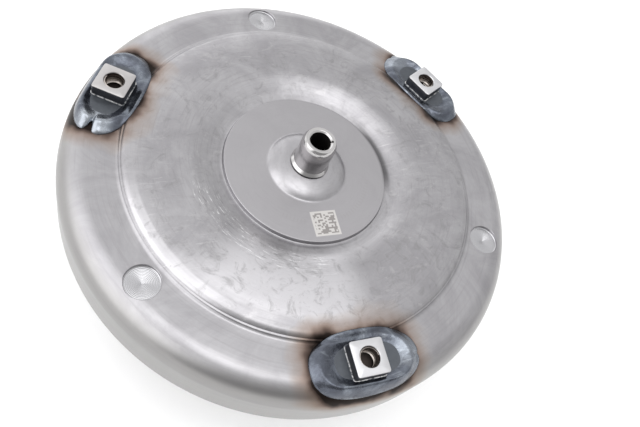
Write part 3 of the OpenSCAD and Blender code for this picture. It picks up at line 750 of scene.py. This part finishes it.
def lug(index, angle):
    """Threaded hole, milled boss and round-ended base plate in one closed solid."""
    t = rim_directions(144)
    ways = np.stack([np.cos(t), np.sin(t)], 1)
    hole = [(0.4, 0.15), (4.9, 0.15), (4.95, 0.6), (4.95, LUG_H - 0.6), (5.25, LUG_H - 0.12), (5.35, LUG_H)]
    boss = [(-0.8, 0.9, LUG_H), (-0.25, 1.1, LUG_H - 0.12), (0, 1.2, LUG_H - 0.42), (0, 1.2, 4.6),
            (0, 1.2, PLATE_H + 0.50), (0.1, 1.3, PLATE_H + 0.38), (0.8, 1.6, PLATE_H + 0.34),
            (0.95, 1.7, PLATE_H + 0.24), (1.0, 1.7, PLATE_H + 0.02)]
    rows = [(ways * r, z) for r, z in hole]
    rows += [(block(BOSS + wider, corner, t), z) for wider, corner, z in boss]
    inner, outer = rows[-1][0], track(PLATE_L, PLATE_W, t)
    rows += [(inner * (1 - u) + outer * u, PLATE_H) for u in (0.12, 0.4, 0.7, 0.97)]
    rows += [(outer, PLATE_H - 0.4), (outer, -1.6), (outer * 0.5, -1.8)]
    n = len(t)
    pts = np.vstack([np.column_stack([xy, np.full(n, z)]) for xy, z in rows])
    made = solid(f"lug_{index}", to_lug(pts, angle), stack_faces(n, len(rows)), LUG, 30)
    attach(made, "housing")
    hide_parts(f"drive_lug_{index}")


def thread_tree():
    """A helical thread ridge: a three-sided section swept along a spiral."""
    tree = bpy.data.node_groups.new("thread", "GeometryNodeTree")
    ids = sockets(tree, ("r", "Radius", "Float", 0.0048), ("h", "Length", "Float", 0.007),
                  ("turns", "Turns", "Float", 4.5), ("size", "Ridge", "Float", 0.0006),
                  ("finish", "Finish", "Material"))
    new, link = tree.nodes.new, tree.links.new
    given, out = new("NodeGroupInput"), new("NodeGroupOutput")
    radius, length, turns, ridge, finish = given.outputs[:5]
    spiral, section = new("GeometryNodeCurveSpiral"), new("GeometryNodeCurvePrimitiveCircle")
    spiral.inputs["Resolution"].default_value = 40
    section.inputs["Resolution"].default_value = 3
    sweep = new("GeometryNodeCurveToMesh")
    link(radius, spiral.inputs["Start Radius"])
    link(radius, spiral.inputs["End Radius"])
    link(length, spiral.inputs["Height"])
    link(turns, spiral.inputs["Rotations"])
    link(ridge, section.inputs["Radius"])
    link(spiral.outputs[0], sweep.inputs["Curve"])
    link(section.outputs[0], sweep.inputs["Profile Curve"])
    sweep.inputs["Fill Caps"].default_value = True
    paint_and_end(tree, sweep.outputs[0], finish, out)
    return tree, ids


THREAD, THREAD_IN = thread_tree()


def thread(index, angle):
    mesh = grown(f"lug_thread_{index}", bpy.data.meshes.new("thread_line"), THREAD, THREAD_IN,
                 {"r": THREAD_R * MM, "h": THREAD_L * MM, "turns": THREAD_TURNS, "size": THREAD_RIDGE * MM,
                  "finish": CREST})
    foot = Matrix.Translation(Vector((0, LUG_R, RING + 0.45)) * MM)
    turn = Matrix.Rotation(math.radians(angle - 90), 4, "Z") @ foot
    mesh.transform(turn @ Matrix.Rotation(index * 1.9, 4, "Z"))
    finish_mesh(mesh, 30)
    made = put(f"lug_thread_{index}", mesh)
    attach(made, "housing")


def cover_height(r):
    """Height of the cover's outer face over the flat ring at a radius."""
    line = np.array(FACE)
    return np.interp(r, line[:, 0], line[:, 1])


def oval(t, right, left, outside, inside, fullness):
    """Points of a lopsided oval in the directions t: its four half widths and how square it is."""
    c, q = np.cos(t), np.sin(t)
    a, b = np.where(c > 0, right, left), np.where(q > 0, outside, inside)
    reach = (np.abs(c / a) ** fullness + np.abs(q / b) ** fullness) ** (-1 / fullness)
    return np.stack([c, q], 1) * reach[:, None]


def lug_weld(index, angle, seed):
    """A bead laid round the base plate: it eases out of the plate, and has a rounded crest and a clear toe.
    It starts and stops at one end, where the second bead leaves an open gap between two raised lobes."""
    n, across = 420, 20
    rand = np.random.default_rng(seed)
    t = rim_directions(n)
    wobble, swell = (sum(rand.normal() * np.sin(k * t + rand.uniform(0, 6.3)) / k for k in range(1, 7))
                     for _ in range(2))
    outer, inner = oval(t, 28.0, 29.4, 15.0, 15.4, 2.45), oval(t, 15.5, 17.5, 8.2, 8.4, 2.6)
    outer *= (1 + 0.010 * wobble)[:, None]
    inner *= (1 + 0.025 * swell)[:, None]
    behind, open_gap = (outer[:, 0] < 0), (index == 2)
    from_gap = np.abs(outer[:, 1] - 1.0)
    parted = behind * np.exp(-((from_gap / 1.3) ** 2)) * (1.0 if open_gap else 0.12)
    beside = behind * np.exp(-(((from_gap - 5.0) / 2.8) ** 2))
    lobe = (1 - 0.95 * parted) * (1 + 0.45 * beside * open_gap)
    outer *= (1 - 0.19 * parted + 0.02 * beside * open_gap)[:, None]
    crest = (1.7 + 0.10 * swell - 0.7 * np.maximum(-np.sin(t), 0)) * lobe
    u, top = np.linspace(0, 1, across), 0.62
    rise = np.sin(np.pi / 2 * np.minimum(u / top, 1)) ** 1.7
    fall = np.maximum(1 - (np.maximum(u - top, 0) / 0.38) ** 2.3, 0) ** 0.65
    dome = np.where(u < top, rise, fall)
    profile_r = np.arange(80.0, 126.0, 0.25)
    soft = np.convolve(cover_height(profile_r), np.hanning(17) / np.hanning(17).sum(), "same")
    pts = []
    for i in range(n):
        xy = inner[i] + (outer[i] - inner[i]) * u[:, None]
        radius = np.hypot(xy[:, 0], xy[:, 1] + LUG_R)
        off_plate = np.clip((np.hypot(np.maximum(np.abs(xy[:, 0]) - 13, 0), xy[:, 1]) - 10.0) / 4.6, 0, 1)
        off_plate = off_plate * off_plate * (3 - 2 * off_plate)
        over = np.interp(radius, profile_r[10:-10], soft[10:-10])
        floor_z = PLATE_H * (1 - off_plate) + over * off_plate
        z = floor_z + crest[i] * dome - 0.04 * (u < 0.01) - 0.05 * (u > 0.99)
        pts += [(x, y, zz) for (x, y), zz in zip(xy, z)]
        pts += [(xy[-1][0], xy[-1][1], z[-1] - 1.3), (xy[0][0], xy[0][1], -1.2)]
    m = across + 2
    faces = [(i * m + k, ((i + 1) % n) * m + k, ((i + 1) % n) * m + (k + 1) % m, i * m + (k + 1) % m)
             for i in range(n) for k in range(m)]
    made = solid(f"lug_bead_{index}", to_lug(pts, angle), faces, WELD, 55)
    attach(made, "housing")
    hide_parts(f"lug_weld_{index}")


for number, angle in enumerate(LUG_ANGLES, 1):
    lug(number, angle)
    thread(number, angle)
    lug_weld(number, angle, 40 + number)


# ---------- impeller shell, seams and neck ----------
def shell_line(offset):
    """Half section of the shell, this far inside its outer face."""
    lower = flowing([(FLANGE_R, FLANGE_Z), (49, FLANGE_Z), (56, -62.6), (64, -64.6), (73, -66.3)], 4)
    bowl = arc(FLOW_R, BOWL_Z, BOWL_R - offset, BOWL_DEPTH - offset, -90, 0, 30)
    return [(r, z + offset) for r, z in lower] + bowl + [(COVER_R - SHEET - offset, -22)]


shell = turned("shell", shell_line(0) + shell_line(SHELL_T)[::-1], SHELL, 256)
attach(shell, "housing")
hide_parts("impeller_shell")


def bead_ring(name, node, rows, ripples, depth, finish):
    """A weld run round the axis, with the ripples a turning table leaves."""
    steps = ripples * 8
    made = turned(name, rows, finish, steps)
    co = np.zeros(len(made.data.vertices) * 3)
    made.data.vertices.foreach_get("co", co)
    co = co.reshape(-1, 3)
    a, r = np.arctan2(co[:, 1], co[:, 0]), np.hypot(co[:, 0], co[:, 1])
    z = co[:, 2] / MM - RING
    centre_r = np.mean([p[0] for p in rows])
    centre_z = np.mean([p[1] for p in rows])
    bulge = 1 + depth * (np.abs(np.sin(a * ripples / 2 + 0.35 * np.sin(5 * a))) - 0.6)
    bulge += 0.03 * np.sin(7 * a) + 0.02 * np.sin(17 * a + 1)
    nr = centre_r + (r / MM - centre_r) * np.minimum(bulge, 1.0)
    nz = centre_z + (z - centre_z) * np.minimum(bulge, 1.0)
    co = np.stack([np.cos(a) * nr, np.sin(a) * nr, nz + RING], 1) * MM
    made.data.vertices.foreach_set("co", co.ravel())
    made.data.update()
    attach(made, "housing")
    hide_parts(node)


edge = COVER_R - SHEET
rim_rows = ([(edge - 0.6, -SKIRT + 0.4)] + arc(edge + 0.1, -SKIRT - 0.2, 4.1, 4.0, 12, -82, 9)
            + [(edge - 0.6, -SKIRT - 4.4)])
bead_ring("rim_seam", "seam_weld", rim_rows, 170, 0.10, SEAM)
neck_rows = ([(FLANGE_R - 0.6, FLANGE_Z + 0.2)] + arc(FLANGE_R, FLANGE_Z, 4.0, 2.5, -4, -86, 8)
             + [(FLANGE_R - 0.6, FLANGE_Z - 2.5)])
bead_ring("neck_seam", "hub_weld", neck_rows, 60, 0.14, SEAM)

neck_end = [(NECK_BORE, -RING + 0.8), (NECK_BORE + 0.25, -RING + 0.2), (NECK_BORE + 0.8, -RING),
            (NECK_R - 0.9, -RING), (NECK_R - 0.2, -RING + 0.4), (NECK_R, -RING + 1.0)]
neck_flange = (arc(NECK_R + 2.6, -68.4, 2.6, 2.8, 180, 92, 7)
               + [(36.5, -65.4), (FLANGE_R, -64.4), (FLANGE_R, -58), (NECK_BORE, -58)])
neck = turned("neck", neck_end + [(NECK_R, z) for z in np.linspace(-RING + 12, -69.5, 7)] + neck_flange
              + [(NECK_BORE, z) for z in np.linspace(-66, -RING + 10, 5)], NECK, 192)


def slot_tool(name, low, high):
    x0, y0, z0 = low
    x1, y1, z1 = high
    pts = [(x, y, z) for z in (z0, z1) for y in (y0, y1) for x in (x0, x1)]
    faces = [(0, 2, 3, 1), (4, 5, 7, 6), (0, 1, 5, 4), (1, 3, 7, 5), (3, 2, 6, 7), (2, 0, 4, 6)]
    return solid(name, pts, faces, NECK)


cut(neck, [slot_tool("slot_a", (NECK_BORE - 3, -SLOT_W / 2, -2), (NECK_R + 3, SLOT_W / 2, SLOT_DEPTH)),
           slot_tool("slot_b", (-NECK_R - 3, -SLOT_W / 2, -2), (-NECK_BORE + 3, SLOT_W / 2, SLOT_DEPTH))])
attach(neck, "housing")
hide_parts("impeller_hub")


def tab_tree():
    """Lays a small pressed pad at every place where a blade tab is rolled into the shell."""
    tree = bpy.data.node_groups.new("blade_tabs", "GeometryNodeTree")
    ids = sockets(tree, ("n", "Blades", "Int", BLADES), ("r", "Radius", "Float", 0.1),
                  ("z", "Height", "Float", 0.0), ("lean", "Lean", "Float", 0.0),
                  ("size", "Size", "Vector", (0.01, 0.002, 0.001)), ("finish", "Finish", "Material"))
    new, link = tree.nodes.new, tree.links.new
    given, out, circle = new("NodeGroupInput"), new("NodeGroupOutput"), new("GeometryNodeMeshCircle")
    blades, radius, height, lean, size, finish = given.outputs[:6]
    link(blades, circle.inputs["Vertices"])
    link(radius, circle.inputs["Radius"])
    ball = new("GeometryNodeMeshUVSphere")
    scale, tilt = new("GeometryNodeTransform"), new("GeometryNodeTransform")
    ball.inputs["Segments"].default_value = 14
    ball.inputs["Rings"].default_value = 8
    ball.inputs["Radius"].default_value = 1.0
    link(ball.outputs[0], scale.inputs["Geometry"])
    link(size, scale.inputs["Scale"])
    tip = new("ShaderNodeCombineXYZ")
    link(lean, tip.inputs[1])
    link(scale.outputs[0], tilt.inputs["Geometry"])
    link(tip.outputs[0], tilt.inputs["Rotation"])
    lay, up = new("GeometryNodeInstanceOnPoints"), new("GeometryNodeTransform")
    spin, index = new("ShaderNodeCombineXYZ"), new("GeometryNodeInputIndex")
    turn, ratio = new("ShaderNodeMath"), new("ShaderNodeMath")
    ratio.operation, turn.operation = "DIVIDE", "MULTIPLY"
    link(index.outputs[0], ratio.inputs[0])
    link(blades, ratio.inputs[1])
    link(ratio.outputs[0], turn.inputs[0])
    turn.inputs[1].default_value = math.tau
    link(turn.outputs[0], spin.inputs[2])
    link(circle.outputs[0], lay.inputs["Points"])
    link(tilt.outputs[0], lay.inputs["Instance"])
    link(spin.outputs[0], lay.inputs["Rotation"])
    lift = new("ShaderNodeCombineXYZ")
    link(height, lift.inputs[2])
    link(lay.outputs[0], up.inputs["Geometry"])
    link(lift.outputs[0], up.inputs["Translation"])
    paint_and_end(tree, up.outputs[0], finish, out)
    return tree, ids


TABS, TABS_IN = tab_tree()
for row, (t, length) in enumerate(((-30, 6.0), (-62, 5.0)), 1):
    a = math.radians(t)
    pr, pz = FLOW_R + BOWL_R * math.cos(a), BOWL_Z + BOWL_DEPTH * math.sin(a)
    lean = -math.atan2(BOWL_DEPTH * math.cos(a), -BOWL_R * math.sin(a))
    mesh = grown(f"blade_tab_marks_{row}", bpy.data.meshes.new("tab_line"), TABS, TABS_IN,
                 {"n": BLADES, "r": pr * MM, "z": (pz + RING) * MM, "lean": lean,
                  "size": (length * MM, TAB_W * MM, TAB_RISE * MM), "finish": SHELL})
    mesh.polygons.foreach_set("use_smooth", [True] * len(mesh.polygons))
    marks = put(f"blade_tab_marks_{row}", mesh)
    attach(marks, "housing")

# balance plate: a bent plate with eased edges
PLATE_LOW, PLATE_HIGH, PLATE_START, PLATE_SWEEP = -52, -38, 64.4, 13.2
plate_out = arc(FLOW_R, BOWL_Z, BOWL_R + 2.4, BOWL_DEPTH + 2.4, PLATE_HIGH, PLATE_LOW, 6)
plate_in = arc(FLOW_R, BOWL_Z, BOWL_R + 0.1, BOWL_DEPTH + 0.1, PLATE_LOW, PLATE_HIGH, 6)
weight = turned("balance_plate", plate_out + plate_in, WEIGHT, 24, math.radians(PLATE_START),
                math.radians(PLATE_SWEEP))
bm = bmesh.new()
bm.from_mesh(weight.data)
bmesh.ops.holes_fill(bm, edges=[e for e in bm.edges if e.is_boundary])
bmesh.ops.recalc_face_normals(bm, faces=bm.faces)
bm.to_mesh(weight.data)
bm.free()
mod = weight.modifiers.new("edges", "BEVEL")
mod.width, mod.segments, mod.limit_method, mod.angle_limit = 0.0005, 3, "ANGLE", math.radians(40)
mesh = plain(weight, "balance_plate")
weight.modifiers.clear()
weight.data = mesh
smooth(mesh, 35)
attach(weight, "housing")
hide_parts("balance_weight")


# ---------- floor, light, camera ----------
def floor():
    f = Finish("pale_floor", (0.93, 0.93, 0.93), 0.0, 0.7)
    f.raise_by(f.noise(f.at, 0.3, 2), 0.01)
    mesh = bpy.data.meshes.new("floor")
    half = 6.0
    corners = [(-half, -half, 0), (half, -half, 0), (half, half, 0), (-half, half, 0)]
    mesh.from_pydata(corners, [], [(0, 1, 2, 3)])
    mesh.materials.append(f.done())
    put("floor", mesh)


def soft_light(name, place, aim, size, power):
    lamp = bpy.data.lights.new(name, "AREA")
    lamp.shape, lamp.size, lamp.size_y, lamp.energy = "RECTANGLE", size[0], size[1], power
    made = bpy.data.objects.new(name, lamp)
    made.location = place
    made.rotation_euler = (Vector(aim) - Vector(place)).to_track_quat("-Z", "Y").to_euler()
    bpy.context.scene.collection.objects.link(made)


floor()
soft_light("overhead_box", (0.2, 0.3, 1.6), (0, 0, 0.1), (2.2, 2.2), 3.0)


def studio_world(base, patches):
    """An even white room with softly brighter or darker walls.
    A patch is (azimuth, elevation, full, end, change), all but the last in degrees."""
    world = bpy.data.worlds.new("studio")
    world.use_nodes = True
    tree = world.node_tree
    back = tree.nodes["Background"]
    total = base
    where = tree.nodes.new("ShaderNodeTexCoord").outputs["Generated"]
    for azimuth, elevation, full, end, change in patches:
        a, e = math.radians(azimuth), math.radians(elevation)
        facing = tree.nodes.new("ShaderNodeVectorMath")
        facing.operation = "DOT_PRODUCT"
        tree.links.new(where, facing.inputs[0])
        facing.inputs[1].default_value = (math.cos(a) * math.cos(e), math.sin(a) * math.cos(e), math.sin(e))
        fade = tree.nodes.new("ShaderNodeMapRange")
        fade.interpolation_type = "SMOOTHSTEP"
        tree.links.new(facing.outputs["Value"], fade.inputs[0])
        fade.inputs["From Min"].default_value = math.cos(math.radians(end))
        fade.inputs["From Max"].default_value = math.cos(math.radians(full))
        fade.inputs["To Max"].default_value = change
        add = tree.nodes.new("ShaderNodeMath")
        if isinstance(total, float):
            add.inputs[1].default_value = total
        else:
            tree.links.new(total, add.inputs[1])
        tree.links.new(fade.outputs[0], add.inputs[0])
        total = add.outputs[0]
    tree.links.new(total, back.inputs["Strength"])
    back.inputs["Color"].default_value = (1, 1, 1, 1)
    return world


WALL = 0.93
PATCHES = [(-176, 30, 15, 45, 1.7), (-100, -5, 25, 62, -0.5), (-90, 85, 6, 25, 1.8), (145, 60, 5, 21, 0.8),
           (100, 0, 25, 55, 0.8)]
bpy.context.scene.world = studio_world(WALL, PATCHES)
bpy.context.scene.view_settings.view_transform = "Standard"
bpy.context.scene.view_settings.look = "None"

camera = bpy.data.objects.new("camera", bpy.data.cameras.new("camera"))
LENS, SENSOR = 34.83, 36.0
camera.data.lens, camera.data.sensor_width = LENS, SENSOR
camera.data.clip_start = 0.01
CAMERA_AT = Vector((-0.1272, -0.1620, 0.2643 + RING * MM))
CAMERA_AIM, CAMERA_ROLL = Vector((0.0, -0.0282, RING * MM)), 32.67
look = (CAMERA_AIM - CAMERA_AT).to_track_quat("-Z", "Y").to_matrix().to_4x4()
roll = Matrix.Rotation(math.radians(CAMERA_ROLL), 4, "Z")
camera.matrix_world = Matrix.Translation(CAMERA_AT) @ look @ roll
bpy.context.scene.collection.objects.link(camera)
bpy.context.scene.camera = camera
